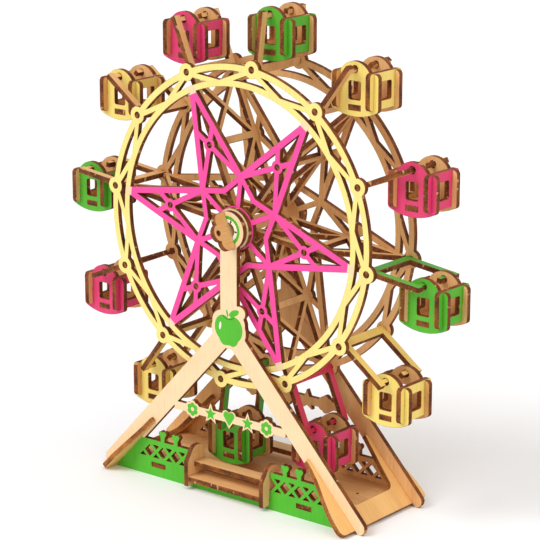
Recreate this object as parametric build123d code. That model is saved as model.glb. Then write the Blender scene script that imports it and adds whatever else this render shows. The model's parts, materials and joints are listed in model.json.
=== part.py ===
from build123d import *
import os
from math import atan2, cos, degrees, hypot, radians, sin, sqrt, tan

# A hand-cranked ferris wheel toy of laser-cut plywood plates. Millimetres, +Z up, front at -Y.
# The origin is on the ground below the hub, half way between the knob's tip and the rear foot.
# Sketches and solids are drawn with Y from the middle of the wheel, and shifted when they are written.

# ---- sheet and fits ----
ply = 3.0                       # thickness of the sheet every piece is cut from
fit_gap = 0.03                  # clearance round a plugged or glued joint
running_gap = 0.08              # radial clearance of a turning joint
side_play = 0.35                # between a spacer disc and the frame plate it runs beside
knob_play = 0.2                 # between the knob or cap and the frame plate

# ---- wheel ----
boss_circle_radius = 90.0       # circle through the rim bosses
wheel_gap = 38.0                # between the inner faces of the two wheel plates
wheel_phase = -22.8             # degrees clockwise, seen from the front, of the first gondola
gondola_count = 12
boss_radius = 5.0
outer_rim_reach = 1.2           # outer rim's outer edge beyond the boss circle
outer_rim_width = 3.7
rim_spacing = 7.8               # boss circle to the inner rim's outer edge
inner_rim_width = 3.6
rim_strut_width = 3.0
rim_strut_drop = 0.6            # boss circle to where the struts' middle lines meet
star_strip_width = 3.7
star_strut_width = 3.2
star_point_count = 6
star_valley_radius = 29.7       # where neighbouring star points meet
star_dip_radius = 21.4          # inner corners of the band round the hub
star_boss_inset = 41.95         # boss circle to the star bosses
star_boss_radius = 3.8
star_fork_x = 6.0               # where a fork above a star boss reaches its strip
star_fork_rise = 8.9
hub_disc_radius = 12.6
spacer_radius = 11.7
cap_radius = 8.5

# ---- crank ----
axle_width = 8.0
knob_base = 21.4                # length of the knob's straight edge along the frame head
knob_reach = 13.0               # knob's height off the frame head
knob_body_reach = 8.7           # knob's straight middle part
knob_lobe_radius = 4.7          # round corners of the knob
knob_crown_radius = 4.9         # round middle of the knob's edge
knob_hole_radius = 1.5
knob_hole_reach = 9.8

# ---- hangers and trusses ----
hanger_bar_height = 5.0
hanger_arm_width = 4.5
gondola_bar_gap = 1.24          # between a swinging gondola's corner and the hanger's bar
hanger_tip = 2.5                # arm beyond the pivot
hanger_peg_height = 2.2
pivot_peg_height = 2.6
pivot_peg_inside = 4.6          # peg beyond the gondola's face plate
slat_height = 4.0               # middle bar of a truss
slat_peg_height = 1.6
truss_foot_radius = 8.0         # inner ends of a truss
truss_top_gap = 1.0             # between a truss and the bar of the hanger beyond it
truss_upright_width = 3.8
truss_brace_width = 2.4

# ---- gondola, measured from its pivot ----
gondola_half_width = 15.5
gondola_face_inset = 3.7        # hanger arm to the face plate
gondola_side_play = 0.3         # hanger arm to the side plates
flange_width = 3.0              # face plate outside the side plates
gondola_arch_top = 4.3
side_top = -1.0
side_bottom = -21.0
face_bottom_edge = -21.5
face_bottom = -25.3
window_half_width = 4.0
window_top = -6.3
window_height = 10.0
side_window_half_width = 5.0
window_corner = 1.2
floor_top = -19.0
floor_tab_half_width = 4.0
flange_corner = 2.4
flange_drop = 0.5               # flange's top below the side plates' top

# ---- stand ----
swing_clearance = 3.0           # lowest gondola above the deck
deck_height = 8.4               # deck's top above the ground
head_radius = 10.7
post_width = 11.8
badge_drop = 57.3               # hub to the middle of the apple badge
badge_half_width = 12.3
badge_half_height = 10.7
badge_shoulder_x = 4.9          # round shoulders of the apple, from the badge's middle
badge_shoulder_rise = 4.3
badge_shoulder_radius = 6.85
leaf_half_length = 5.0
leaf_half_width = 4.2
leaf_tilt = 18.0
leaf_x = 7.0
leaf_rise = 10.9
leg_lean = 43.0                 # degrees from vertical
leg_width = 11.5
leg_start_x = 11.5              # a point on the leg's outer edge beside the badge
leg_start_drop = 61.0
leg_foot_radius = 4.0
crossbar_height_above_ground = 47.1
crossbar_width = 4.8
ornament_pitch = 13.45
flower_petal_radius = 2.4
flower_petal_circle = 3.0       # circle through the petals' middles
flower_core_radius = 2.9
star_reach = 6.5
star_waist = 0.45               # a small star's inner corners, as a share of its reach
heart_half_width = 5.0
heart_drop = 0.24               # crossbar's middle to the middle heart's
heart_lobe = 0.54               # a heart's outline, in shares of its half width
heart_lobe_rise = 0.42
heart_side = 0.97
heart_side_rise = 0.2
heart_notch = 0.7
heart_point = 1.15
fence_height = 22.0
fence_inner_end = 29.7
fence_sill = 5.1                # fence below the stair treads
lattice_pitch = 10.0
lattice_bar = 1.9
lattice_middle = 15.1           # height of the crossings
lattice_bottom = 11.2
lattice_top = 19.0
lattice_cells = 3
post_pitch = 10.0
post_first_x = 40.0
post_height = 28.6
post_bar = 2.9
plug_root = 1.0                 # how far a bar or tab runs into the plate that it grows from
post_heart_half_width = 2.8
deck_tab_x = 53.35
deck_tab_length = 10.7
tab_recess = 0.6                # tab ends stay behind the fence's face
deck_hole_radius = 0.8
deck_hole_inset = 13.1          # from the deck's end
deck_hole_y = 5.1
deck_end_gap = 0.15             # between the deck's end and the ramp

# ---- ramps, s is measured up the slope from the ramp's lower edge ----
ramp_set_in = 6.9               # leg's outer edge to the ramp's outer face
ramp_length = 46.5
ramp_lap = 23.0                 # where the ramp's slots end and the leg's slots start
ramp_top_half_depth = 30.8
ramp_middle_half_depth = 35.9
ramp_foot_half_depth = 39.5
ramp_foot_corner = 3.5
ramp_top_corner = 1.1
cutout_bottom = 12.8
cutout_foot_half_width = 18.2
cutout_top_half_width = 23.6
cutout_corner = 4.6

# ---- stairs ----
cheek_inner_x = 26.0
cheek_front = 7.05              # cheek's front edge before the frame plate's middle
cheek_back = 7.85
cheek_height = 25.4
cheek_foot = 2.1                # cheeks hang on the sill, this far above the ground
cheek_knee = 16.7
cheek_crest_depth = 5.7         # cheek's front edge to where its top turns level
cheek_knee_radius = 4.0
cheek_crest_radius = 5.0
upper_tread_top = 16.0
upper_tread_depth = 9.3
lower_tread_top = 8.1
tread_nose = 0.2                # lower tread behind the cheek's front edge
upper_tread_set_back = 5.55

# ---- worked out from these ----
corner_reach = hypot(gondola_half_width - flange_corner, face_bottom_edge + flange_corner) + flange_corner
hanger_reach = max(corner_reach, -face_bottom) + gondola_bar_gap + hanger_bar_height / 2
outer_rim_radius = boss_circle_radius + outer_rim_reach
inner_rim_radius = boss_circle_radius - rim_spacing
star_tip_radius = inner_rim_radius - inner_rim_width
star_boss_circle = boss_circle_radius - star_boss_inset
pivot_radius = boss_circle_radius + hanger_reach
hub_height = deck_height + swing_clearance - face_bottom + pivot_radius
wheel_inner_y = wheel_gap / 2
wheel_outer_y = wheel_inner_y + ply
frame_inner_y = wheel_outer_y + ply + side_play
frame_outer_y = frame_inner_y + ply
frame_middle_y = frame_inner_y + ply / 2
arm_inner_y = wheel_inner_y - hanger_arm_width
face_outer_y = arm_inner_y - gondola_face_inset
face_inner_y = face_outer_y - ply
side_half_length = arm_inner_y - gondola_side_play
side_inner_x = gondola_half_width - flange_width - ply
side_outer_x = side_inner_x + ply
gondola_step = 360 / gondola_count
star_step = 360 / star_point_count
boss_hole_radius = hypot(ply, hanger_peg_height) / 2 + fit_gap
slat_hole_radius = hypot(ply, slat_peg_height) / 2 + fit_gap
pivot_hole_radius = hypot(ply, pivot_peg_height) / 2 + running_gap
axle_hole_radius = hypot(ply, axle_width) / 2 + running_gap
knob_tip_y = frame_outer_y + knob_play + knob_reach
origin_shift = (knob_tip_y - ramp_foot_half_depth) / 2
lean = radians(leg_lean)
ramp_foot_z = ply * sin(lean)   # the ramp's inner edge stands on the ground
hub_axis = Axis((0, 0, hub_height), (0, 1, 0))

os.makedirs("parts", exist_ok=True)


# ---- tools for plates ----
def spot(radius, angle):
    """Point of the face plane at a clockwise angle from straight up."""
    return (radius * sin(radians(angle)), radius * cos(radians(angle)))


def bar(start, end, width):
    """Straight strip between two points of a sketch."""
    run = (end[0] - start[0], end[1] - start[1])
    middle = ((start[0] + end[0]) / 2, (start[1] + end[1]) / 2)
    return Pos(*middle) * Rot(0, 0, degrees(atan2(run[1], run[0]))) * Rectangle(hypot(*run), width)


def outline(points):
    return make_face(Polyline(*points, close=True))


def mirrored(sketch):
    """Sketch together with its mirror image about the vertical."""
    return sketch + mirror(sketch, about=Plane.YZ)


def upright(sketch, back_y, thickness=ply):
    """Plate that faces the front, from its sketch in X and Z."""
    return extrude(Plane.XZ.offset(-back_y) * sketch, amount=thickness)


def sideways(sketch, low_x, thickness=ply):
    """Plate that faces the side, from its sketch in Y and Z."""
    return extrude(Plane.YZ.offset(low_x) * sketch, amount=thickness)


def flat(sketch, low_z, thickness=ply):
    return extrude(Plane.XY.offset(low_z) * sketch, amount=thickness)


def on_wheel(solid, angle):
    """Turn a piece drawn at the top of the wheel to its place on the wheel."""
    return solid.rotate(hub_axis, angle + wheel_phase)


def save(node, *pieces):
    solids = [solid for piece in pieces for solid in piece.solids()]
    solids = [solid.moved(Location((0, origin_shift, 0))) for solid in solids]
    shape = solids[0] if len(solids) == 1 else Compound(children=solids)
    shape.label = node
    export_step(shape, f"parts/{node}.step")


# ---- wheel ----
def rim_sketch():
    rim = Circle(outer_rim_radius) - Circle(outer_rim_radius - outer_rim_width)
    rim += Circle(inner_rim_radius) - Circle(star_tip_radius)
    strut_foot = inner_rim_radius - rim_strut_width / 2
    for place in range(gondola_count):
        angle = place * gondola_step
        rim += Pos(*spot(boss_circle_radius, angle)) * Circle(boss_radius)
        for side in (-1, 1):
            start = spot(boss_circle_radius - rim_strut_drop, angle)
            end = spot(strut_foot, angle + side * gondola_step / 2)
            rim += bar(start, end, rim_strut_width)
    return rim


def star_sketch():
    star = Circle(hub_disc_radius)
    for point in range(star_point_count):
        angle = point * star_step
        tip = spot(star_tip_radius + inner_rim_width / 2, angle)
        boss = spot(star_boss_circle, angle)
        dip = spot(star_dip_radius, angle)
        star += Pos(*boss) * Circle(star_boss_radius)
        for side in (-1, 1):
            valley = spot(star_valley_radius, angle + side * star_step / 2)
            fork = Rot(0, 0, -angle) * Pos(side * star_fork_x, star_boss_circle + star_fork_rise)
            fork_end = (fork.position.X, fork.position.Y)
            star += bar(tip, valley, star_strip_width)
            star += bar(boss, fork_end, star_strut_width)
            star += bar(boss, valley, star_strut_width)
            star += bar(dip, valley, star_strut_width)
        star += bar((0, 0), spot(star_valley_radius, angle + star_step / 2), star_strut_width)
        star += Pos(*spot(star_valley_radius, angle + star_step / 2)) * Circle(star_strip_width / 2)
        star += Pos(*dip) * Circle(star_strut_width / 2)
    return star


def axle_slot():
    return Rectangle(ply + 2 * fit_gap, axle_width + 2 * fit_gap)


def wheel_sketch():
    wheel = rim_sketch() + star_sketch()
    for place in range(gondola_count):
        wheel -= Pos(*spot(boss_circle_radius, place * gondola_step)) * Circle(boss_hole_radius)
    for point in range(star_point_count):
        wheel -= Pos(*spot(star_boss_circle, point * star_step)) * Circle(slat_hole_radius)
    return Pos(0, hub_height) * (wheel - axle_slot())


def disc(radius, back_y):
    """Round plate with the axle's slot, on the hub."""
    plate = upright(Pos(0, hub_height) * (Circle(radius) - axle_slot()), back_y)
    return on_wheel(plate, 0)


def crank_axle():
    """Flat axle, drawn in Y and Z on the hub, with the half-flower knob at its front end."""
    front = -(frame_outer_y + knob_play)
    back = frame_outer_y + knob_play + ply
    blade = Pos((front + back) / 2, 0) * Rectangle(back - front, axle_width)
    body_width = knob_base - 2 * knob_lobe_radius
    knob = Pos(front - knob_body_reach / 2, 0) * Rectangle(knob_body_reach, body_width)
    corner_y = front - knob_lobe_radius
    for side in (-1, 1):
        corner_z = side * (knob_base / 2 - knob_lobe_radius)
        knob += Pos(corner_y, corner_z) * Circle(knob_lobe_radius)
        knob += Pos(front - knob_lobe_radius / 2, corner_z) * Rectangle(
            knob_lobe_radius, 2 * knob_lobe_radius)
    knob += Pos(front - knob_reach + knob_crown_radius, 0) * Circle(knob_crown_radius)
    knob -= Pos(-frame_outer_y - knob_hole_reach, 0) * Circle(knob_hole_radius)
    sketch = Pos(0, hub_height) * (knob + blade)
    return on_wheel(sideways(sketch, -ply / 2), 0)


def hanger(angle):
    """C-shaped plate across the wheel, with pegs in the rim bosses and pegs for a gondola."""
    shape = Rectangle(wheel_gap, hanger_bar_height)
    shape += Rectangle(2 * wheel_outer_y, hanger_peg_height)
    arm_low = -hanger_bar_height / 2
    arm_high = hanger_reach + hanger_tip
    peg_end = face_inner_y - pivot_peg_inside
    for side in (-1, 1):
        arm = Rectangle(hanger_arm_width, arm_high - arm_low)
        shape += Pos(side * (arm_inner_y + hanger_arm_width / 2), (arm_low + arm_high) / 2) * arm
        peg = Rectangle(arm_inner_y - peg_end + hanger_arm_width / 2, pivot_peg_height)
        peg_middle = (arm_inner_y + hanger_arm_width / 2 + peg_end) / 2
        shape += Pos(side * peg_middle, hanger_reach) * peg
    sketch = Pos(0, hub_height + boss_circle_radius) * shape
    return on_wheel(sideways(sketch, -ply / 2), angle)


def star_truss(angle):
    """Lattice plate between the two wheels, in the plane of the axis and a star point. Its middle
    bar has a peg for a star boss at each end."""
    foot = truss_foot_radius - star_boss_circle
    top = boss_circle_radius - hanger_bar_height / 2 - truss_top_gap - star_boss_circle
    upright_middle = wheel_inner_y - truss_upright_width / 2
    shape = Rectangle(wheel_gap, slat_height) + Rectangle(2 * wheel_outer_y, slat_peg_height)
    for side in (-1, 1):
        upright_bar = Rectangle(truss_upright_width, top - foot)
        shape += Pos(side * upright_middle, (top + foot) / 2) * upright_bar
        for end in (foot + truss_brace_width / 2, top - truss_brace_width / 2):
            shape += bar((-side * upright_middle, 0), (side * upright_middle, end), truss_brace_width)
    sketch = Pos(0, hub_height + star_boss_circle) * shape
    return on_wheel(sideways(sketch, -ply / 2), angle)


# ---- gondola ----
def pivot_place(number):
    x, drop = spot(pivot_radius, (number - 1) * gondola_step + wheel_phase)
    return (x, hub_height + drop)


def gondola_face_sketch():
    half = gondola_half_width
    shoulder = face_bottom_edge - face_bottom
    arch_left, arch_right = (-side_inner_x, side_top), (side_inner_x, side_top)
    body = make_face([
        ThreePointArc((-half, face_bottom_edge), (0, face_bottom), (half, face_bottom_edge)),
        Line((half, face_bottom_edge), (half, side_top - flange_drop)),
        Line((half, side_top - flange_drop), (-half, side_top - flange_drop)),
        Line((-half, side_top - flange_drop), (-half, face_bottom_edge)),
    ])
    body = fillet(body.vertices(), radius=min(flange_corner, shoulder))
    arch = make_face([
        ThreePointArc(arch_left, (0, gondola_arch_top), arch_right),
        Line(arch_right, (side_inner_x, side_top - ply)),
        Line((side_inner_x, side_top - ply), (-side_inner_x, side_top - ply)),
        Line((-side_inner_x, side_top - ply), arch_left),
    ])
    face = body + arch
    window = Rectangle(2 * window_half_width, window_height)
    face -= Pos(0, window_top - window_height / 2) * fillet(window.vertices(), radius=window_corner)
    face -= Pos(0, floor_top - ply / 2) * Rectangle(2 * floor_tab_half_width + 2 * fit_gap, ply + 2 * fit_gap)
    lap = (side_top + side_bottom) / 2
    slot_height = gondola_arch_top - lap
    for side in (-1, 1):
        slot = Rectangle(ply + 2 * fit_gap, slot_height)
        face -= Pos(side * (side_inner_x + ply / 2), lap + slot_height / 2) * slot
    return face - Circle(pivot_hole_radius)


def gondola_side_sketch():
    height = side_top - side_bottom
    panel = Rectangle(2 * side_half_length, height)
    panel = fillet(panel.vertices(), radius=flange_corner)
    window = Rectangle(2 * side_window_half_width, window_height)
    panel -= Pos(0, window_top - window_height / 2 - (side_top + side_bottom) / 2) * fillet(
        window.vertices(), radius=window_corner)
    for side in (-1, 1):
        slot = Rectangle(ply + 2 * fit_gap, height / 2 + fit_gap)
        panel -= Pos(side * (face_inner_y + ply / 2), -height / 4 + fit_gap / 2) * slot
    return Pos(0, (side_top + side_bottom) / 2) * panel


def gondola_floor_sketch():
    floor = Rectangle(2 * (side_inner_x - fit_gap), 2 * (face_inner_y - fit_gap))
    return floor + Rectangle(2 * floor_tab_half_width, 2 * face_outer_y)


def save_gondola(number):
    x, z = pivot_place(number)
    face = Pos(x, z) * gondola_face_sketch()
    side = Pos(0, z) * gondola_side_sketch()
    name = f"gondola_{number:02d}"
    save(f"{name}_faces", upright(face, -face_inner_y), upright(face, face_outer_y))
    save(f"{name}_sides", sideways(side, x - side_outer_x), sideways(side, x + side_inner_x))
    save(f"{name}_floor", flat(Pos(x, 0) * gondola_floor_sketch(), z + floor_top - ply))


# ---- frames ----
def leg_edge(z, inset):
    """X of the line that lies inset inside the right leg's outer edge, at a height z."""
    return leg_start_x + (hub_height - leg_start_drop - z) * tan(lean) - inset / cos(lean)


def leg_sketch():
    top = hub_height - leg_start_drop + leg_width / 2
    points = [(leg_edge(top, 0), top), (leg_edge(0, 0), 0), (leg_edge(0, leg_width), 0)]
    points.append((leg_edge(top, leg_width), top))
    leg = outline(points)
    return fillet(leg.vertices().sort_by(Axis.X)[-1:], radius=leg_foot_radius)


def ramp_slot_sketch():
    """Slot in a leg, open at the ground, that the lower half of a ramp slides into."""
    outer = ramp_set_in - fit_gap
    inner = ramp_set_in + ply + fit_gap
    top = ramp_foot_z + (ramp_lap + 2 * fit_gap) * cos(lean)
    points = [(leg_edge(-ply, outer), -ply), (leg_edge(top, outer), top)]
    points += [(leg_edge(top, outer) - (inner - outer) * cos(lean), top - (inner - outer) * sin(lean))]
    points += [(leg_edge(-ply, inner), -ply)]
    return outline(points)


def flower_sketch():
    petals = Circle(flower_core_radius)
    for petal in range(6):
        petals += Pos(*spot(flower_petal_circle, petal * 60)) * Circle(flower_petal_radius)
    return petals


def five_point_star(reach):
    return outline([spot(reach if tip % 2 == 0 else reach * star_waist, tip * 36) for tip in range(10)])


def heart_sketch(half_width):
    """Heart of two round lobes over a point, from half its width."""
    lobe = half_width * heart_lobe
    heart = mirrored(Pos(half_width - lobe, half_width * heart_lobe_rise) * Circle(lobe))
    side, side_rise = half_width * heart_side, half_width * heart_side_rise
    notch, point = (0, half_width * heart_notch), (0, -half_width * heart_point)
    return heart + outline([(-side, side_rise), notch, (side, side_rise), point])


def badge_sketch():
    """Outline of an apple with a leaf at its right shoulder, drawn about the badge's middle."""
    badge = Ellipse(badge_half_width, badge_half_height)
    badge += mirrored(Pos(badge_shoulder_x, badge_shoulder_rise) * Circle(badge_shoulder_radius))
    leaf = Rot(0, 0, leaf_tilt) * Ellipse(leaf_half_length, leaf_half_width)
    return badge + Pos(leaf_x, leaf_rise) * leaf


def lattice_holes():
    """Diamonds and half diamonds between crossing bars, on the right half of the fence."""
    edge = lattice_bar / sqrt(2)
    reach = lattice_pitch / 2 - edge
    holes = Sketch()
    for cell in range(lattice_cells + 1):
        x = post_first_x + (cell - 1) * lattice_pitch
        diamond = [(x - reach, lattice_middle), (x, lattice_middle + reach)]
        diamond += [(x + reach, lattice_middle), (x, lattice_middle - reach)]
        holes += outline(diamond)
        cross = x + lattice_pitch / 2
        lower = lattice_middle - edge - lattice_bottom
        holes += outline([(cross - lower, lattice_bottom), (cross + lower, lattice_bottom),
                          (cross, lattice_middle - edge)])
        if cell < lattice_cells:
            upper = lattice_top - lattice_middle - edge
            holes += outline([(cross - upper, lattice_top), (cross + upper, lattice_top),
                              (cross, lattice_middle + edge)])
    return holes


def fence_sketch():
    inset = ramp_set_in + ply
    section = outline([(fence_inner_end, 0), (leg_edge(0, inset), 0),
                       (leg_edge(fence_height, inset), fence_height), (fence_inner_end, fence_height)])
    section -= lattice_holes()
    for post in range(2):
        x = post_first_x + post * post_pitch
        heart_z = post_height - post_heart_half_width
        section += bar((x, fence_height - plug_root), (x, heart_z), post_bar)
        section += Pos(x, heart_z) * heart_sketch(post_heart_half_width)
    tab = Rectangle(deck_tab_length + 2 * fit_gap, ply + 2 * fit_gap)
    section -= Pos(deck_tab_x, deck_height - ply / 2) * tab
    sill = Pos(0, fence_sill / 2) * Rectangle(2 * fence_inner_end, fence_sill)
    return mirrored(section) + sill


def frame_sketch():
    crossbar_z = crossbar_height_above_ground
    frame = Pos(0, hub_height) * Circle(head_radius)
    frame += bar((0, hub_height), (0, hub_height - badge_drop), post_width)
    frame += Pos(0, hub_height - badge_drop) * badge_sketch()
    frame += mirrored(leg_sketch())
    frame += bar((-leg_edge(crossbar_z, leg_width), crossbar_z), (leg_edge(crossbar_z, leg_width), crossbar_z),
                 crossbar_width)
    frame += Pos(0, crossbar_z - heart_drop) * heart_sketch(heart_half_width)
    for side in (-1, 1):
        frame += Pos(side * ornament_pitch, crossbar_z) * five_point_star(star_reach)
        frame += Pos(side * 2 * ornament_pitch, crossbar_z) * flower_sketch()
    frame += fence_sketch()
    frame -= mirrored(ramp_slot_sketch())
    return frame - Pos(0, hub_height) * Circle(axle_hole_radius)


# ---- deck, ramps and stairs ----
def ramp_plane():
    """Plane of the right ramp's outer face: local x along Y, local y up the slope."""
    foot = (leg_edge(ramp_foot_z, ramp_set_in), 0, ramp_foot_z)
    return Plane(origin=foot, x_dir=(0, 1, 0), z_dir=(cos(lean), 0, sin(lean)))


def ramp_sketch():
    """Leaning side plate: curved outer edges, a U cut-out and two slots open at the top."""
    top = (ramp_top_half_depth, ramp_length)
    knee = (ramp_middle_half_depth, ramp_lap)
    foot = (ramp_foot_half_depth, ramp_foot_corner)
    edge = Spline(top, knee, foot, tangents=[(0, -1), (0, -1)])
    half = make_face([edge, Line(foot, (ramp_foot_half_depth, 0)), Line((ramp_foot_half_depth, 0), (0, 0)),
                      Line((0, 0), (0, ramp_length)), Line((0, ramp_length), top)])
    half = fillet(half.vertices().sort_by_distance((ramp_foot_half_depth, 0))[:1], radius=ramp_foot_corner)
    half = fillet(half.vertices().sort_by_distance(top)[:1], radius=ramp_top_corner)
    cut_top = ramp_length + ply
    cutout = outline([(-cutout_foot_half_width, cutout_bottom), (cutout_foot_half_width, cutout_bottom),
                      (cutout_top_half_width, cut_top), (-cutout_top_half_width, cut_top)])
    cutout = fillet(cutout.vertices().sort_by(Axis.Y)[:2], radius=cutout_corner)
    ramp = mirrored(half) - cutout
    slot_length = ramp_length + ply - ramp_lap
    for side in (-1, 1):
        slot = Rectangle(ply + 2 * fit_gap, slot_length)
        ramp -= Pos(side * frame_middle_y, ramp_lap + slot_length / 2) * slot
    return ramp


def right_ramp():
    return extrude(ramp_plane() * ramp_sketch(), amount=-ply)


def deck():
    half_length = leg_edge(deck_height, ramp_set_in + ply) - deck_end_gap
    plate = Rectangle(2 * half_length, 2 * (frame_inner_y - fit_gap))
    stair_bay = frame_inner_y - (frame_middle_y - cheek_back)
    for side in (-1, 1):
        for end in (-1, 1):
            tab_reach = plug_root + ply - tab_recess
            tab_y = frame_inner_y - plug_root + tab_reach / 2
            plate += Pos(side * deck_tab_x, end * tab_y) * Rectangle(deck_tab_length, tab_reach)
        bay = Rectangle(2 * (cheek_inner_x + ply + fit_gap), 2 * (stair_bay + fit_gap))
        plate -= Pos(0, side * frame_inner_y) * bay
        plate -= Pos(side * (half_length - deck_hole_inset), deck_hole_y) * Circle(deck_hole_radius)
    return flat(plate, deck_height - ply)


def cheek_sketch():
    """Stair side seen from the side, in Y and Z, for the front stairs."""
    front = -frame_middle_y - cheek_front
    back = -frame_middle_y + cheek_back
    crest = front + cheek_crest_depth
    shape = outline([(front, cheek_foot), (front, cheek_knee), (crest, cheek_height),
                     (back, cheek_height), (back, cheek_foot)])
    corners = shape.vertices().sort_by(Axis.Y)
    shape = fillet(corners[2:3], radius=cheek_knee_radius)
    shape = fillet(shape.vertices().sort_by_distance((crest, cheek_height))[:1], radius=cheek_crest_radius)
    shape = fillet(shape.vertices().sort_by_distance((back, cheek_height))[:1], radius=cheek_crest_radius)
    notch = Rectangle(ply + 2 * fit_gap, 2 * (fence_sill + fit_gap))
    return shape - Pos(-frame_middle_y, 0) * notch


def stair_pieces():
    """Cheeks and treads of the front stairs, by name."""
    front = -frame_middle_y - cheek_front
    back = -frame_middle_y + cheek_back
    width = 2 * (cheek_inner_x - fit_gap)
    lower_depth = back - front - tread_nose
    lower = Pos(0, front + tread_nose + lower_depth / 2) * Rectangle(width, lower_depth)
    upper_front = front + upper_tread_set_back
    upper = Pos(0, upper_front + upper_tread_depth / 2) * Rectangle(width, upper_tread_depth)
    cheek = cheek_sketch()
    return {
        "left_cheek": sideways(cheek, -cheek_inner_x - ply),
        "right_cheek": sideways(cheek, cheek_inner_x),
        "lower_tread": flat(lower, lower_tread_top - ply),
        "upper_tread": flat(upper, upper_tread_top - ply),
    }


# ---- build and write every node ----
frame = frame_sketch()
save("front_frame", upright(frame, -frame_inner_y))
save("rear_frame", upright(frame, frame_outer_y))
save("deck", deck())
save("right_ramp", right_ramp())
save("left_ramp", mirror(right_ramp(), about=Plane.YZ))
for name, piece in stair_pieces().items():
    save(f"front_{name}", piece)
    save(f"rear_{name}", mirror(piece, about=Plane.XZ))

wheel = wheel_sketch()
save("front_wheel", on_wheel(upright(wheel, -wheel_inner_y), 0))
save("rear_wheel", on_wheel(upright(wheel, wheel_outer_y), 0))
save("front_spacer", disc(spacer_radius, -wheel_outer_y))
save("rear_spacer", disc(spacer_radius, wheel_outer_y + ply))
save("rear_cap", disc(cap_radius, frame_outer_y + knob_play + ply))
save("crank_axle", crank_axle())
save("star_spreaders", *[star_truss(point * star_step) for point in range(star_point_count)])
for first, colour in enumerate(("magenta", "green", "yellow")):
    angles = [place * gondola_step for place in range(first, gondola_count, 3)]
    save(f"{colour}_hangers", *[hanger(angle) for angle in angles])
for number in range(1, gondola_count + 1):
    save_gondola(number)
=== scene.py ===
import json
import math

import bmesh
import bpy
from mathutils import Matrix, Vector

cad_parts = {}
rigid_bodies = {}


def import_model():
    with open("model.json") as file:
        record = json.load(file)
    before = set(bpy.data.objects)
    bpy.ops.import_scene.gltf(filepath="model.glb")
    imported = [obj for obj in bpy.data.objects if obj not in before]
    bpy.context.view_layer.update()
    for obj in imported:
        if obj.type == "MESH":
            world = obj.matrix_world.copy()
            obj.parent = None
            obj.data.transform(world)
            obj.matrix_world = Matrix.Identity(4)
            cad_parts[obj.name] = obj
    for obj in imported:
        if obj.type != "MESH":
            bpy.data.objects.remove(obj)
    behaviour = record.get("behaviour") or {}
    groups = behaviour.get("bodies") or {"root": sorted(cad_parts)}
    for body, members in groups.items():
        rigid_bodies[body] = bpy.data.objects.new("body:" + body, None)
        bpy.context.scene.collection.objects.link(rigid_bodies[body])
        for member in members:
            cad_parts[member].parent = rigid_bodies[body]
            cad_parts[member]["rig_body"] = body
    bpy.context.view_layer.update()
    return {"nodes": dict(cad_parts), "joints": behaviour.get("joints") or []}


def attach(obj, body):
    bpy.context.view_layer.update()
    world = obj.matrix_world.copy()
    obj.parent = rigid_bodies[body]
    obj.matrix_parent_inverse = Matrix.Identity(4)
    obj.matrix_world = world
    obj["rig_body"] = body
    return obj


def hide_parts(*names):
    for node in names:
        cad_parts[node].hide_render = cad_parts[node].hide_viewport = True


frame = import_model()

# ---------------------------------------------------------------------------
# Rear frame. The real piece is one birch plywood plate, 3 mm thick: head, post, two legs and a
# lattice fence, cut by a laser and left bare. It stands behind the wheel on its lower edge.
MM = 0.001
SHEET_STEP = (0.211, 0.137)        # from one board's place on the sheet of plywood to the next one's
EDGE_SOFTNESS = 0.12 * MM          # the laser leaves an edge this round
SCORCH_WIDTH = 0.4 * MM            # smoke stain on a face beside the cut
CORNER = math.radians(50)
WALL_SMOOTHING = math.radians(32)
PALE_BIRCH = (240, 193, 134)
WARM_BIRCH = (212, 158, 98)
CARAMEL = (160, 92, 38)
CHAR = (72, 30, 8)
FLECK_BROWN = (150, 100, 58)
NICK_WOOD = (225, 178, 120)
SMOKE_BROWN = (112, 62, 26)
BARE_ROUGHNESS = 0.62
BURNT_ROUGHNESS = 0.78
GRAIN_DEPTH = 0.12 * MM
boards_cut = 0


def srgb(red, green, blue):
    """A colour as it is seen on a screen, 0 to 255, in the linear values that a shader takes."""
    return tuple(c / 12.92 if c <= 0.04045 else ((c + 0.055) / 1.055) ** 2.4
                 for c in (red / 255, green / 255, blue / 255)) + (1.0,)


def add(tree, kind, inputs=None, **settings):
    """One shader node, with inputs given as plain values or as sockets to link from."""
    made = tree.nodes.new(kind)
    for name, value in settings.items():
        setattr(made, name, value)
    for socket, value in (inputs or {}).items():
        if isinstance(value, bpy.types.NodeSocket):
            tree.links.new(value, made.inputs[socket])
        else:
            made.inputs[socket].default_value = value
    return made


def maths(tree, operation, *values):
    """One sum or comparison of plain values and sockets."""
    return add(tree, "ShaderNodeMath", dict(enumerate(values)), operation=operation).outputs[0]


def mix(tree, share, first, second, blend="MIX"):
    """The first colour with a share of the second over it."""
    made = add(tree, "ShaderNodeMix", {0: share, 6: first, 7: second}, data_type="RGBA", blend_type=blend)
    return made.outputs[2]


def ramp(tree, value, low, high, to_low=0.0, to_high=1.0):
    """A value brought smoothly from one range to another, and held at its ends."""
    return add(tree, "ShaderNodeMapRange", {0: value, 1: low, 2: high, 3: to_low, 4: to_high},
               interpolation_type="SMOOTHSTEP").outputs[0]


def scaled(tree, vector, factors):
    return add(tree, "ShaderNodeVectorMath", {0: vector, 1: factors}, operation="MULTIPLY").outputs[0]


def noise(tree, vector, factors, detail=3.0, rough=0.55):
    """Noise with its own frequency, in waves a metre, along each axis of a vector."""
    made = add(tree, "ShaderNodeTexNoise", {"Vector": scaled(tree, vector, factors), "Scale": 1.0,
                                            "Detail": detail, "Roughness": rough})
    return made.outputs[0]


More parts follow.
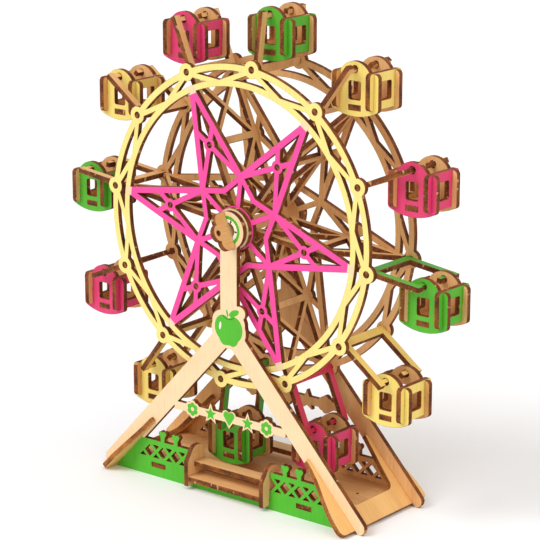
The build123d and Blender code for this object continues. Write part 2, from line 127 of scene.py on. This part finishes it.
def group(name, inputs, outputs):
    """An empty node group with named sockets, and its input and output nodes."""
    tree = bpy.data.node_groups.new(name, "ShaderNodeTree")
    for label, kind in inputs.items():
        tree.interface.new_socket(label, in_out="INPUT", socket_type="NodeSocket" + kind)
    for label, kind in outputs.items():
        tree.interface.new_socket(label, in_out="OUTPUT", socket_type="NodeSocket" + kind)
    return tree, tree.nodes.new("NodeGroupInput").outputs, tree.nodes.new("NodeGroupOutput").inputs


def put(tree, group_tree, **inputs):
    """A node group placed in a material, with its inputs by name."""
    made = tree.nodes.new("ShaderNodeGroup")
    made.node_tree = group_tree
    for label, value in inputs.items():
        socket = made.inputs[label.replace("_", " ")]
        if isinstance(value, bpy.types.NodeSocket):
            tree.links.new(value, socket)
        else:
            socket.default_value = value
    return made.outputs


def birch_veneer_group():
    """Rotary-cut birch: long soft fibres, a broad pale figure and short dark flecks along the grain."""
    tree, given, out = group("birch_veneer", {"Board": "Vector", "Pale": "Color", "Dark": "Color"},
                             {"Color": "Color", "Height": "Float"})
    board = given["Board"]
    fibre = noise(tree, board, (70, 1500, 0), 4.0, 0.6)
    figure = noise(tree, board, (9, 75, 0), 2.0)
    fleck = ramp(tree, noise(tree, board, (420, 3600, 0), 1.0), 0.66, 0.74)
    share = maths(tree, "ADD", maths(tree, "MULTIPLY", fibre, 0.55), maths(tree, "MULTIPLY", figure, 0.6))
    wood = mix(tree, ramp(tree, share, 0.36, 0.80), given["Pale"], given["Dark"])
    flecked = mix(tree, maths(tree, "MULTIPLY", fleck, 0.35), wood, srgb(*FLECK_BROWN))
    tree.links.new(flecked, out["Color"])
    tree.links.new(maths(tree, "SUBTRACT", fibre, maths(tree, "MULTIPLY", fleck, 0.5)), out["Height"])
    return tree


def laser_cut_group():
    """A cut edge: three plies between dark glue lines, burnt in stripes along the beam, with pale nicks."""
    tree, given, out = group("laser_cut", {"Board": "Vector", "Caramel": "Color", "Char": "Color"},
                             {"Color": "Color", "Height": "Float"})
    board = given["Board"]
    depth = maths(tree, "ABSOLUTE", add(tree, "ShaderNodeSeparateXYZ", {0: board}).outputs["Z"])
    stripe = noise(tree, board, (2300, 2300, 0.8), 3.0, 0.65)
    patch = noise(tree, board, (95, 95, 0.4), 2.0)
    burn = maths(tree, "ADD", maths(tree, "MULTIPLY", stripe, 0.6), maths(tree, "MULTIPLY", patch, 0.6))
    colour = mix(tree, ramp(tree, burn, 0.42, 0.76), given["Caramel"], given["Char"])
    glue = ramp(tree, maths(tree, "ABSOLUTE", maths(tree, "SUBTRACT", depth, 1 / 3)), 0.09, 0.02)
    core = ramp(tree, depth, 0.34, 0.30, 0.0, 0.16)
    colour = mix(tree, core, colour, given["Char"])
    colour = mix(tree, maths(tree, "MULTIPLY", glue, 0.7), colour, given["Char"])
    nick = ramp(tree, noise(tree, board, (330, 330, 0.3), 0.0), 0.74, 0.77)
    colour = mix(tree, maths(tree, "MULTIPLY", nick, 0.6), colour, srgb(*NICK_WOOD))
    tree.links.new(colour, out["Color"])
    tree.links.new(maths(tree, "SUBTRACT", maths(tree, "MULTIPLY", stripe, 0.8), glue), out["Height"])
    return tree


def smoke_stain_group():
    """Brown smoke on a face beside the cut, strongest at the edge and uneven along it."""
    tree, given, out = group("smoke_stain", {"Color": "Color", "Board": "Vector", "Nearness": "Float",
                                             "Strength": "Float"}, {"Color": "Color"})
    uneven = noise(tree, given["Board"], (700, 700, 0), 2.0)
    waver = maths(tree, "MULTIPLY", maths(tree, "SUBTRACT", uneven, 0.5), 0.9)
    near = maths(tree, "ADD", given["Nearness"], waver)
    share = maths(tree, "MULTIPLY", ramp(tree, near, 0.35, 1.15), given["Strength"])
    tree.links.new(mix(tree, share, given["Color"], srgb(*SMOKE_BROWN)), out["Color"])
    return tree


veneer = birch_veneer_group()
laser_cut = laser_cut_group()
smoke_stain = smoke_stain_group()


def board_material(name, show_face=None, wood=(PALE_BIRCH, WARM_BIRCH), smoke=0.55, caramel=CARAMEL,
                   char=CHAR):
    """Plywood board: bare veneer, or what show_face puts on its show side, and burnt cut edges.
    show_face takes the tree, the board's coordinates, the veneer's colour and its height, and
    returns a colour, a roughness and a height."""
    material = bpy.data.materials.new(name)
    material.use_nodes = True
    tree = material.node_tree
    shader = tree.nodes["Principled BSDF"]
    board = add(tree, "ShaderNodeAttribute", attribute_name="board").outputs["Vector"]
    nearness = add(tree, "ShaderNodeAttribute", attribute_name="nearness").outputs["Fac"]
    bare = put(tree, veneer, Board=board, Pale=srgb(*wood[0]), Dark=srgb(*wood[1]))
    cut = put(tree, laser_cut, Board=board, Caramel=srgb(*caramel), Char=srgb(*char))
    through = add(tree, "ShaderNodeSeparateXYZ", {0: board}).outputs["Z"]
    colour, roughness, height = bare["Color"], BARE_ROUGHNESS, bare["Height"]
    if show_face:
        is_show = maths(tree, "GREATER_THAN", through, 0.0)
        printed = show_face(tree, board, bare["Color"], bare["Height"])
        colour = mix(tree, is_show, colour, printed[0])
        roughness = add(tree, "ShaderNodeMix", {0: is_show, 2: roughness, 3: printed[1]}).outputs[0]
        height = add(tree, "ShaderNodeMix", {0: is_show, 2: height, 3: printed[2]}).outputs[0]
    stained = put(tree, smoke_stain, Color=colour, Board=board, Nearness=nearness, Strength=smoke)
    wall = ramp(tree, maths(tree, "ABSOLUTE", through), 0.995, 0.955)
    tree.links.new(mix(tree, wall, stained["Color"], cut["Color"]), shader.inputs["Base Color"])
    rough = add(tree, "ShaderNodeMix", {0: wall, 2: roughness, 3: BURNT_ROUGHNESS}).outputs[0]
    tree.links.new(rough, shader.inputs["Roughness"])
    relief = add(tree, "ShaderNodeMix", {0: wall, 2: height, 3: cut["Height"]}).outputs[0]
    bump = add(tree, "ShaderNodeBump", {"Height": relief, "Strength": 0.35, "Distance": GRAIN_DEPTH})
    tree.links.new(bump.outputs[0], shader.inputs["Normal"])
    shader.inputs["Specular IOR Level"].default_value = 0.3
    return material


def boards_of(node):
    """The boards of a CAD node, each as a bmesh with whole flat faces instead of triangles."""
    whole = bmesh.new()
    whole.from_mesh(frame["nodes"][node].data)
    bmesh.ops.remove_doubles(whole, verts=whole.verts, dist=0.000002)
    bmesh.ops.dissolve_limit(whole, angle_limit=math.radians(0.4), verts=whole.verts, edges=whole.edges)
    left, boards = set(whole.verts), []
    while left:
        reached = {left.pop()}
        newest = set(reached)
        while newest:
            newest = {e.other_vert(v) for v in newest for e in v.link_edges} - reached
            reached |= newest
        left -= reached
        board = whole.copy()
        keep = {v.index for v in reached}
        board.verts.ensure_lookup_table()
        bmesh.ops.delete(board, geom=[v for v in board.verts if v.index not in keep], context="VERTS")
        boards.append(board)
    whole.free()
    return boards


def cut_board(board, name, grain, show):
    """An object from one board: edges softened, a stain strip round each face, and its place on the
    sheet in the attribute board: along the grain, across it, and -1 to 1 from the back to the show face."""
    global boards_cut
    face = max(board.faces, key=lambda f: f.calc_area())
    normal = face.normal.copy()
    if normal.dot(Vector(show)) < 0:
        normal.negate()
    along = (Vector(grain) - normal * normal.dot(Vector(grain))).normalized()
    across = normal.cross(along)
    corners = [e for e in board.edges if len(e.link_faces) == 2 and e.calc_face_angle(0) > CORNER]
    bmesh.ops.bevel(board, geom=corners, offset=EDGE_SOFTNESS, offset_type="OFFSET", segments=1,
                    profile=0.5, affect="EDGES", clamp_overlap=True)
    flats = [f for f in board.faces if abs(f.normal.dot(normal)) > 0.999]
    bmesh.ops.inset_region(board, faces=flats, thickness=SCORCH_WIDTH, use_boundary=True,
                           use_even_offset=False)
    inside = {v for f in flats for v in f.verts}
    for facing in (1, -1):
        side = {f for f in flats if f.is_valid and f.normal.dot(normal) * facing > 0}
        rim = [e for e in {e for f in side for e in f.edges} if sum(f in side for f in e.link_faces) == 1]
        bmesh.ops.delete(board, geom=list(side), context="FACES")
        bmesh.ops.triangle_fill(board, edges=rim, use_beauty=True, normal=normal * facing)
    inside = {v for v in inside if v.is_valid}
    bmesh.ops.recalc_face_normals(board, faces=board.faces)
    levels = [v.co.dot(normal) for v in board.verts]
    middle, half = (max(levels) + min(levels)) / 2, (max(levels) - min(levels)) / 2
    mesh = bpy.data.meshes.new(name)
    nearness = [0.0 if v in inside else 1.0 for v in board.verts]
    start = (boards_cut * SHEET_STEP[0], boards_cut * SHEET_STEP[1])
    boards_cut += 1
    places = []
    for v in board.verts:
        on_sheet = (v.co.dot(along) + start[0], v.co.dot(across) + start[1])
        places += [*on_sheet, (v.co.dot(normal) - middle) / half]
    board.to_mesh(mesh)
    board.free()
    mesh.attributes.new("board", "FLOAT_VECTOR", "POINT").data.foreach_set("vector", places)
    mesh.attributes.new("nearness", "FLOAT", "POINT").data.foreach_set("value", nearness)
    mesh.polygons.foreach_set("use_smooth", [True] * len(mesh.polygons))
    mesh.set_sharp_from_angle(angle=WALL_SMOOTHING)
    made = bpy.data.objects.new(name, mesh)
    bpy.context.scene.collection.objects.link(made)
    return made


def place_boards(node, names, material, grain, show, order=lambda middle: middle.x):
    """Cut the boards of a CAD node and give each its name, finish and body. grain and show are
    directions, or functions of a board's middle that give one."""
    body = frame["nodes"][node]["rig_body"]
    boards = [(sum((v.co for v in b.verts), Vector()) / len(b.verts), b) for b in boards_of(node)]
    boards.sort(key=lambda item: order(item[0]))
    made = []
    for name, (middle, board) in zip(names, boards, strict=True):
        piece = cut_board(board, name, grain(middle) if callable(grain) else grain,
                          show(middle) if callable(show) else show)
        piece.data.materials.append(material)
        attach(piece, body)
        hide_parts(node)
        made.append(piece)
    return made


bare_birch = board_material("bare_birch")
UP, FRONT, RIGHT = (0, 0, 1), (0, -1, 0), (1, 0, 0)
place_boards("rear_frame", ["rear_frame_plate"], bare_birch, UP, FRONT)

# ---------------------------------------------------------------------------
# Deck. The real piece is one bare plywood plate that lies between the two fences, with a tab in a
# slot of each fence and two small pin holes. It ties the front frame to the rear frame.
deck_birch = board_material("deck_birch", wood=((236, 186, 126), (206, 152, 94)), smoke=0.4)
place_boards("deck", ["deck_plate"], deck_birch, RIGHT, UP)

# ---------------------------------------------------------------------------
# Ramps. Each real piece is a bare plywood plate that leans against the ends of the frames' legs, with
# a U-shaped way in. Its slots and the legs' slots slide over each other, halfway up.
ramp_birch = board_material("ramp_birch", wood=((246, 198, 130), (228, 172, 102)), smoke=0.5,
                            caramel=(190, 124, 58), char=(104, 54, 20))
for side, outwards in (("left", (-1, 0, 1)), ("right", (1, 0, 1))):
    slope = (-outwards[0], 0, 1)
    place_boards(f"{side}_ramp", [f"{side}_ramp_plate"], ramp_birch, slope, outwards)

# ---------------------------------------------------------------------------
# Stairs. At the front and at the rear, two cheeks hang on the frame's sill and hold two treads.
# All eight are bare plywood, glued edge to face.
stair_birch = board_material("stair_birch", wood=((234, 188, 130), (208, 156, 98)), smoke=0.5)
for end in ("front", "rear"):
    for side, outwards in (("left", (-1, 0, 0)), ("right", RIGHT)):
        cheek = f"{end}_{side}_stair_cheek"
        place_boards(f"{end}_{side}_cheek", [cheek], stair_birch, UP, outwards)
    for step in ("lower", "upper"):
        tread = f"{end}_{step}_stair_tread"
        place_boards(f"{end}_{step}_tread", [tread], stair_birch, RIGHT, UP)

# ---------------------------------------------------------------------------
# Front frame. The same plate as the rear frame, with its front face printed before it was cut: cream
# all over, a green lattice fence, an apple on the badge, small ornaments and a fruit slice at the hub.
CREAM = (246, 216, 172)
LEAF_GREEN = (82, 186, 44)
hub = Vector(next(j["pos_m"] for j in frame["joints"] if j["name"] == "wheel_spin"))
FENCE_TOP = 22 * MM                # the green print ends here on the legs
POST_TOP = 29.5 * MM
POST_REACH = 56 * MM               # outermost heart post from the middle
LEG_LEAN = math.radians(43)
RAMP_LINE = 88.6 * MM              # middle of the ramp's plate at the ground, from the middle of the toy
CROSSBAR = 47.1 * MM
ORNAMENT_PITCH = 13.45 * MM
HEART_HALF_WIDTH = 4.0 * MM
STAR_REACH = 4.3 * MM
FLOWER_REACH = 4.0 * MM
BADGE_DROP = 57.3 * MM             # middle of the apple, below the hub
# Parts of the apple in millimetres: middle across and up, half width, half height, tilt in degrees
SHOULDERS = (3.8, 1.2, 6.2, 7.3)
BODY = (0, -1.4, 8.2, 7.2)
FEET = (2.7, -3.2, 4.4, 5.7)
STALK = (-0.9, 9.8, 0.65, 2.2, 14)
LEAF = (3.9, 10.5, 3.9, 1.75, 27)
GLEAM = (-6.1, 1.9, 0.75, 2.3, -8)
DIMPLE_RADIUS = 5.4 * MM
DIMPLE_LINE = 0.28 * MM
DIMPLE_GREEN = (44, 132, 26)
GLEAM_WHITE = (250, 248, 232)
RIND_REACH = 8.1                   # the fruit slice at the hub, in millimetres
FLESH_REACH = 6.3
FLESH_WHITE = (252, 250, 240)
SEED_RING = 5.3 * MM
SEED_TURN = 20                     # degrees
SEED_HALF_WIDTH = 0.55 * MM
SEED_HALF_LENGTH = 0.95 * MM
SEED_BROWN = (84, 48, 24)
INK_SHADE = (206, 204, 204)


def printed_coat_group():
    """Opaque print on veneer: the grain shows through faintly, with pinholes where the ink missed."""
    tree, given, out = group("printed_coat", {"Board": "Vector", "Ink": "Color", "Wood": "Color",
                                              "Wood Height": "Float"},
                             {"Color": "Color", "Roughness": "Float", "Height": "Float"})
    board = given["Board"]
    fibre = noise(tree, board, (55, 1100, 0), 3.0)
    cloud = noise(tree, board, (48, 48, 0), 2.0)
    darker = mix(tree, 1.0, given["Ink"], srgb(*INK_SHADE), "MULTIPLY")
    share = maths(tree, "MULTIPLY", ramp(tree, fibre, 0.42, 0.78), 0.32)
    inked = mix(tree, share, given["Ink"], darker)
    inked = mix(tree, maths(tree, "MULTIPLY", ramp(tree, cloud, 0.35, 0.75), 0.16), inked, darker)
    pinhole = ramp(tree, noise(tree, board, (620, 2900, 0), 1.0), 0.73, 0.77)
    tree.links.new(mix(tree, maths(tree, "MULTIPLY", pinhole, 0.45), inked, given["Wood"]), out["Color"])
    tree.links.new(maths(tree, "ADD", 0.44, maths(tree, "MULTIPLY", cloud, 0.16)), out["Roughness"])
    height = maths(tree, "SUBTRACT", maths(tree, "MULTIPLY", given["Wood Height"], 0.35), pinhole)
    tree.links.new(height, out["Height"])
    return tree


def place_group():
    """A motif's own coordinates: a point of the printed face, moved, turned and scaled to unit size."""
    tree, given, out = group("motif_place", {"X": "Float", "Z": "Float", "Centre X": "Float",
                                             "Centre Z": "Float", "Half Width": "Float",
                                             "Half Height": "Float", "Tilt": "Float"},
                             {"X": "Float", "Z": "Float"})
    x = maths(tree, "SUBTRACT", given["X"], given["Centre X"])
    z = maths(tree, "SUBTRACT", given["Z"], given["Centre Z"])
    cosine, sine = maths(tree, "COSINE", given["Tilt"]), maths(tree, "SINE", given["Tilt"])
    along = maths(tree, "ADD", maths(tree, "MULTIPLY", x, cosine), maths(tree, "MULTIPLY", z, sine))
    across = maths(tree, "SUBTRACT", maths(tree, "MULTIPLY", z, cosine), maths(tree, "MULTIPLY", x, sine))
    tree.links.new(maths(tree, "DIVIDE", along, given["Half Width"]), out["X"])
    tree.links.new(maths(tree, "DIVIDE", across, given["Half Height"]), out["Z"])
    return tree


printed_coat = printed_coat_group()
motif_place = place_group()


def length(tree, x, z):
    squares = maths(tree, "ADD", maths(tree, "MULTIPLY", x, x), maths(tree, "MULTIPLY", z, z))
    return maths(tree, "SQRT", squares)


def both(tree, *masks):
    """Where every mask is 1."""
    made = masks[0]
    for mask in masks[1:]:
        made = maths(tree, "MINIMUM", made, mask)
    return made


def either(tree, *masks):
    """Where any mask is 1."""
    made = masks[0]
    for mask in masks[1:]:
        made = maths(tree, "MAXIMUM", made, mask)
    return made


def motif(tree, x, z, centre, half_width, half_height=None, tilt=0.0):
    """Unit coordinates of a motif that is printed at a centre, in metres on the face."""
    placed = put(tree, motif_place, X=x, Z=z, Centre_X=centre[0], Centre_Z=centre[1],
                 Half_Width=half_width, Half_Height=half_height or half_width, Tilt=math.radians(tilt))
    return placed["X"], placed["Z"]


def ellipse(tree, x, z, centre, half_width, half_height=None, tilt=0.0):
    u, v = motif(tree, x, z, centre, half_width, half_height, tilt)
    return maths(tree, "LESS_THAN", length(tree, u, v), 1.0)


def folded(tree, turn, share, start):
    """Angle from the nearest of the lines that stand a share of the circle apart."""
    within = maths(tree, "MODULO", maths(tree, "ADD", turn, start), share)
    return maths(tree, "ABSOLUTE", maths(tree, "SUBTRACT", within, share / 2))


def star_print(tree, x, z, centre, reach):
    """Five-point star: each point is a line from its tip to the waist, folded round the centre."""
    waist, fifth = 0.45, math.tau / 5
    u, v = motif(tree, x, z, centre, reach)
    fold = folded(tree, maths(tree, "ARCTAN2", u, v), fifth, fifth * 2.5)
    size = length(tree, u, v)
    side_x, side_z = waist * math.sin(fifth / 2), waist * math.cos(fifth / 2) - 1
    reach_x = maths(tree, "MULTIPLY", size, maths(tree, "SINE", fold))
    reach_z = maths(tree, "MULTIPLY", size, maths(tree, "COSINE", fold))
    inside = maths(tree, "ADD", maths(tree, "MULTIPLY", reach_x, -side_z),
                   maths(tree, "MULTIPLY", reach_z, side_x))
    return maths(tree, "LESS_THAN", inside, side_x)


def heart_print(tree, x, z, centre, half_width):
    """Two round lobes over a point."""
    u, v = motif(tree, x, z, centre, half_width)
    u = maths(tree, "ABSOLUTE", u)
    lobe = ellipse(tree, u, v, (0.46, 0.42), 0.54)
    below = maths(tree, "LESS_THAN", maths(tree, "SUBTRACT", maths(tree, "MULTIPLY", u, 1.39), v), 1.15)
    above = maths(tree, "LESS_THAN", maths(tree, "ADD", maths(tree, "MULTIPLY", u, 0.515), v), 0.7)
    return either(tree, lobe, both(tree, below, above))


def flower_print(tree, x, z, centre, reach):
    """Six petals round a bare eye."""
    u, v = motif(tree, x, z, centre, reach)
    size = length(tree, u, v)
    tripled = maths(tree, "MULTIPLY", maths(tree, "ARCTAN2", u, v), 3.0)
    petal = maths(tree, "ABSOLUTE", maths(tree, "COSINE", tripled))
    edge = maths(tree, "ADD", 0.74, maths(tree, "MULTIPLY", maths(tree, "SQRT", petal), 0.26))
    return both(tree, maths(tree, "LESS_THAN", size, edge), maths(tree, "GREATER_THAN", size, 0.30))


def printed_place(tree):
    """A point of a printed face in the toy's own metres, which stay with the plate when it turns."""
    toy = add(tree, "ShaderNodeTexCoord").outputs["Object"]
    return add(tree, "ShaderNodeSeparateXYZ", {0: toy}).outputs


def frame_print(tree, board, wood, wood_height):
    """Everything that is printed on the front frame, over the cream coat."""
    at = printed_place(tree)
    x, z, wide = at["X"], at["Z"], maths(tree, "ABSOLUTE", at["X"])
    low = maths(tree, "LESS_THAN", z, FENCE_TOP)
    ramp_line = maths(tree, "SUBTRACT", RAMP_LINE, maths(tree, "MULTIPLY", z, math.tan(LEG_LEAN)))
    posts = both(tree, maths(tree, "LESS_THAN", z, POST_TOP), maths(tree, "LESS_THAN", wide, POST_REACH))
    green = either(tree, both(tree, low, maths(tree, "LESS_THAN", wide, ramp_line)), posts)
    green = either(tree, green, heart_print(tree, x, z, (0, CROSSBAR + 0.1 * MM), HEART_HALF_WIDTH))
    green = either(tree, green, star_print(tree, wide, z, (ORNAMENT_PITCH, CROSSBAR), STAR_REACH))
    green = either(tree, green, flower_print(tree, wide, z, (2 * ORNAMENT_PITCH, CROSSBAR), FLOWER_REACH))
    badge = hub.z - BADGE_DROP

    def on_badge(sideways, shape):
        across, up, half_width, half_height, *tilt = shape
        centre = (across * MM, badge + up * MM)
        return ellipse(tree, sideways, z, centre, half_width * MM, half_height * MM, *tilt)

    apple = either(tree, on_badge(wide, SHOULDERS), on_badge(x, BODY), on_badge(wide, FEET))
    green = either(tree, green, apple, on_badge(x, STALK), on_badge(x, LEAF))
    colour = mix(tree, green, srgb(*CREAM), srgb(*LEAF_GREEN))
    dimple_at = length(tree, x, maths(tree, "SUBTRACT", z, badge + 11.8 * MM))
    off_line = maths(tree, "ABSOLUTE", maths(tree, "SUBTRACT", dimple_at, DIMPLE_RADIUS))
    dimple = both(tree, maths(tree, "LESS_THAN", off_line, DIMPLE_LINE),
                  maths(tree, "LESS_THAN", z, badge + 8.4 * MM), apple)
    colour = mix(tree, dimple, colour, srgb(*DIMPLE_GREEN))
    colour = mix(tree, on_badge(x, GLEAM), colour, srgb(*GLEAM_WHITE))
    u, v = motif(tree, x, z, (hub.x, hub.z), 1 * MM)
    wavy = noise(tree, add(tree, "ShaderNodeCombineXYZ", {0: u, 1: v}).outputs[0], (0.7, 0.7, 0.7), 1.0)
    waver = maths(tree, "MULTIPLY", maths(tree, "SUBTRACT", wavy, 0.5), 0.7)
    size = maths(tree, "ADD", length(tree, u, v), waver)
    colour = mix(tree, maths(tree, "LESS_THAN", size, RIND_REACH), colour, srgb(*LEAF_GREEN))
    colour = mix(tree, maths(tree, "LESS_THAN", size, FLESH_REACH), colour, srgb(*FLESH_WHITE))
    for angle in range(SEED_TURN, 360 + SEED_TURN, 72):
        turn = math.radians(angle)
        seed_at = (hub.x + SEED_RING * math.sin(turn), hub.z + SEED_RING * math.cos(turn))
        seed = ellipse(tree, x, z, seed_at, SEED_HALF_WIDTH, SEED_HALF_LENGTH, -angle)
        colour = mix(tree, seed, colour, srgb(*SEED_BROWN))
    coat = put(tree, printed_coat, Board=board, Ink=colour, Wood=wood, Wood_Height=wood_height)
    return coat["Color"], coat["Roughness"], coat["Height"]


printed_frame = board_material("printed_frame", show_face=frame_print, smoke=0.35)
place_boards("front_frame", ["front_frame_plate"], printed_frame, UP, FRONT)

# ---------------------------------------------------------------------------
# Rear wheel. One bare plywood plate: a double rim with twelve bosses, a six-point star and a hub.
# The hangers and the star's trusses plug into it.
place_boards("rear_wheel", ["rear_wheel_plate"], bare_birch, UP, FRONT)

# ---------------------------------------------------------------------------
# Front wheel. The same plate, printed on its front face: pale yellow on the rim and magenta on the
# star, with a scrap of bare cream where each point of the star meets the rim.
RIM_YELLOW = (250, 228, 138)
MAGENTA = (250, 76, 160)
PRINT_CHANGE = 77.6 * MM           # the rim's print starts here
TIP_OUTSIDE = 81.8 * MM            # outer end and half width of the scraps
TIP_HALF_ANGLE = math.radians(2.2)
WHEEL_TURN = math.radians(-22.8)   # clockwise turn at rest


def wheel_print(tree, board, wood, wood_height):
    """Magenta inside and yellow outside, with the bare scraps at the star's points."""
    at = printed_place(tree)
    u, v = motif(tree, at["X"], at["Z"], (hub.x, hub.z), 1.0)
    radius, sixth = length(tree, u, v), math.tau / 6
    fold = folded(tree, maths(tree, "ARCTAN2", u, v), sixth, sixth * 3.5 - WHEEL_TURN)
    on_rim = maths(tree, "GREATER_THAN", radius, PRINT_CHANGE)
    colour = mix(tree, on_rim, srgb(*MAGENTA), srgb(*RIM_YELLOW))
    scrap = both(tree, maths(tree, "LESS_THAN", fold, TIP_HALF_ANGLE), on_rim,
                 maths(tree, "LESS_THAN", radius, TIP_OUTSIDE))
    colour = mix(tree, scrap, colour, srgb(*CREAM))
    coat = put(tree, printed_coat, Board=board, Ink=colour, Wood=wood, Wood_Height=wood_height)
    return coat["Color"], coat["Roughness"], coat["Height"]


printed_wheel = board_material("printed_wheel", show_face=wheel_print, smoke=0.3)
place_boards("front_wheel", ["front_wheel_plate"], printed_wheel, UP, FRONT)

# ---------------------------------------------------------------------------
# Crank axle. One flat plate on edge along the axis: its blade turns in the two frame heads and its
# front end is the half-flower knob that is turned by hand. Bare plywood, with a heavier smoke stain beside
# its cut edges than the other boards.
axle_birch = board_material("axle_birch", wood=((240, 192, 130), (216, 162, 100)), smoke=0.75)
place_boards("crank_axle", ["crank_axle_plate"], axle_birch, FRONT, RIGHT)

# ---------------------------------------------------------------------------
# Spacers and cap. Discs on the axle's blade keep the wheel off the frames, and the cap keeps the
# axle from sliding out. The front spacer's front face is cream, the other two are bare.


def one_ink(ink):
    """A face printed in one colour."""
    def coat_face(tree, board, wood, wood_height):
        coat = put(tree, printed_coat, Board=board, Ink=srgb(*ink), Wood=wood, Wood_Height=wood_height)
        return coat["Color"], coat["Roughness"], coat["Height"]
    return coat_face


cream_disc = board_material("cream_disc", show_face=one_ink(CREAM), smoke=0.35)
place_boards("front_spacer", ["front_spacer_disc"], cream_disc, UP, FRONT)
place_boards("rear_spacer", ["rear_spacer_disc"], bare_birch, UP, FRONT)
place_boards("rear_cap", ["rear_cap_disc"], bare_birch, UP, (0, 1, 0))


# ---------------------------------------------------------------------------
# Star trusses. Six bare lattice plates stand between the two wheels, each in the plane of the axis and
# a star point. The middle bar's two pegs plug into the star's bosses, which holds the wheels apart.
def clockwise(middle):
    """Angle of a board round the hub, clockwise from where the wheel's first gondola hangs."""
    turn = math.atan2(middle.x - hub.x, middle.z - hub.z) - WHEEL_TURN + 0.01
    return turn % math.tau


def tangent(middle):
    """Counter-clockwise direction at a board on the wheel."""
    outwards = (middle - hub).normalized()
    return (-outwards.z, 0, outwards.x)


place_boards("star_spreaders", [f"star_truss_{n}" for n in range(1, 7)], bare_birch,
             lambda middle: middle - hub, tangent, clockwise)

# ---------------------------------------------------------------------------
# Hangers. Twelve C-shaped plates plug into the rim bosses and reach out past the rim, with a peg on
# each arm for a gondola. Each is printed on one side in its gondola's colour and bare on the other.
GONDOLA_INKS = {"magenta": (224, 64, 114), "green": (86, 178, 46), "yellow": (246, 220, 120)}
HANGER_INKS = {"magenta": (210, 50, 84), "green": (88, 172, 56), "yellow": (248, 214, 118)}

for start, (name, ink) in enumerate(HANGER_INKS.items(), 1):
    material = board_material(f"{name}_hanger_print", show_face=one_ink(ink), smoke=0.4)
    numbers = range(start, 13, 3)
    place_boards(f"{name}_hangers", [f"hanger_{n:02d}" for n in numbers], material,
                 lambda middle: middle - hub, tangent, clockwise)

# ---------------------------------------------------------------------------
# Gondolas. Twelve open cabins of two faces, two sides and a floor that plug together. They are
# printed outside and bare inside, and swing on their hanger's pegs through holes in the faces.
pivots = {j["child"]: Vector(j["pos_m"]) for j in frame["joints"]}
cabin_prints = {}
for name, ink in GONDOLA_INKS.items():
    cabin_prints[name] = board_material(f"{name}_cabin_print", show_face=one_ink(ink), smoke=0.45)
cabin_floor = board_material("cabin_floor", wood=((234, 186, 124), (204, 152, 94)), smoke=0.5)

for number in range(1, 13):
    cabin = f"gondola_{number:02d}"
    pivot = pivots[cabin]
    colour = list(GONDOLA_INKS)[(number - 1) % 3]
    faces = [f"{cabin}_front_face", f"{cabin}_rear_face"]
    sides = [f"{cabin}_left_side", f"{cabin}_right_side"]
    place_boards(f"{cabin}_faces", faces, cabin_prints[colour], UP,
                 lambda middle: (0, middle.y - pivot.y, 0), lambda middle: middle.y)
    place_boards(f"{cabin}_sides", sides, cabin_prints[colour], UP,
                 lambda middle: (middle.x - pivot.x, 0, 0))
    place_boards(f"{cabin}_floor", [f"{cabin}_floor_board"], cabin_floor, (0, 1, 0), UP)

# ---------------------------------------------------------------------------
# Studio. A plain pale floor in an even white surround. A soft main light comes from the front left,
# and a weaker, warmer one from the right. The camera sees the surround as plain white.
FLOOR_REACH = 4.0
FLOOR_WHITE = (244, 246, 250)
SURROUND = 0.67                    # strength of the surround's light on the toy
SUNS = {                           # strength, spread in degrees, tint and the way it shines
    "key_light": (1.45, 30, (1.0, 1.0, 1.0), (0.42, 0.80, -0.95)),
    "warm_fill": (0.80, 60, (1.0, 0.86, 0.66), (-0.55, 0.15, -0.8)),
}

floor_mesh = bpy.data.meshes.new("floor")
corners = [(x * FLOOR_REACH, y * FLOOR_REACH, 0) for x, y in ((-1, -1), (1, -1), (1, 1), (-1, 1))]
floor_mesh.from_pydata(corners, [], [(0, 1, 2, 3)])
floor = bpy.data.objects.new("floor", floor_mesh)
bpy.context.scene.collection.objects.link(floor)
floor_paint = bpy.data.materials.new("floor_paint")
floor_paint.use_nodes = True
floor_shader = floor_paint.node_tree.nodes["Principled BSDF"]
floor_shader.inputs["Base Color"].default_value = srgb(*FLOOR_WHITE)
floor_shader.inputs["Roughness"].default_value = 0.9
floor_mesh.materials.append(floor_paint)

world = bpy.data.worlds.new("studio")
bpy.context.scene.world = world
world.use_nodes = True
sky = world.node_tree
background = sky.nodes["Background"]
path = add(sky, "ShaderNodeLightPath")
seen = maths(sky, "MAXIMUM", path.outputs["Is Camera Ray"], path.outputs["Is Glossy Ray"])
strength = add(sky, "ShaderNodeMix", {0: seen, 2: SURROUND, 3: 1.0}).outputs[0]
sky.links.new(strength, background.inputs["Strength"])
background.inputs["Color"].default_value = (1.0, 1.0, 1.0, 1.0)

for name, (energy, angle, tint, towards) in SUNS.items():
    light = bpy.data.lights.new(name, "SUN")
    light.energy, light.angle, light.color = energy, math.radians(angle), tint
    lamp = bpy.data.objects.new(name, light)
    lamp.rotation_mode = "QUATERNION"
    lamp.rotation_quaternion = Vector(towards).to_track_quat("-Z", "Y")
    bpy.context.scene.collection.objects.link(lamp)

# ---------------------------------------------------------------------------
# Camera. It stands in front of the toy, well to its right and a little above the wheel, and looks
# slightly down. The long lens and the small shift give the photograph's frame.
STAND_POINT = (0.7662, -0.9455, 0.4573)
LOOK = (-0.6064, 0.7508, -0.2620)
LENS = 149.98
SENSOR = 36.0
camera_data = bpy.data.cameras.new("camera")
camera_data.lens = LENS
camera_data.sensor_width = SENSOR
camera_data.shift_x, camera_data.shift_y = 0.0128, 0.0028
camera_data.clip_start, camera_data.clip_end = 0.05, 20.0
camera = bpy.data.objects.new("camera", camera_data)
camera.location = STAND_POINT
camera.rotation_mode = "QUATERNION"
camera.rotation_quaternion = Vector(LOOK).to_track_quat("-Z", "Y")
bpy.context.scene.collection.objects.link(camera)
bpy.context.scene.camera = camera
bpy.context.scene.view_settings.view_transform = "Standard"
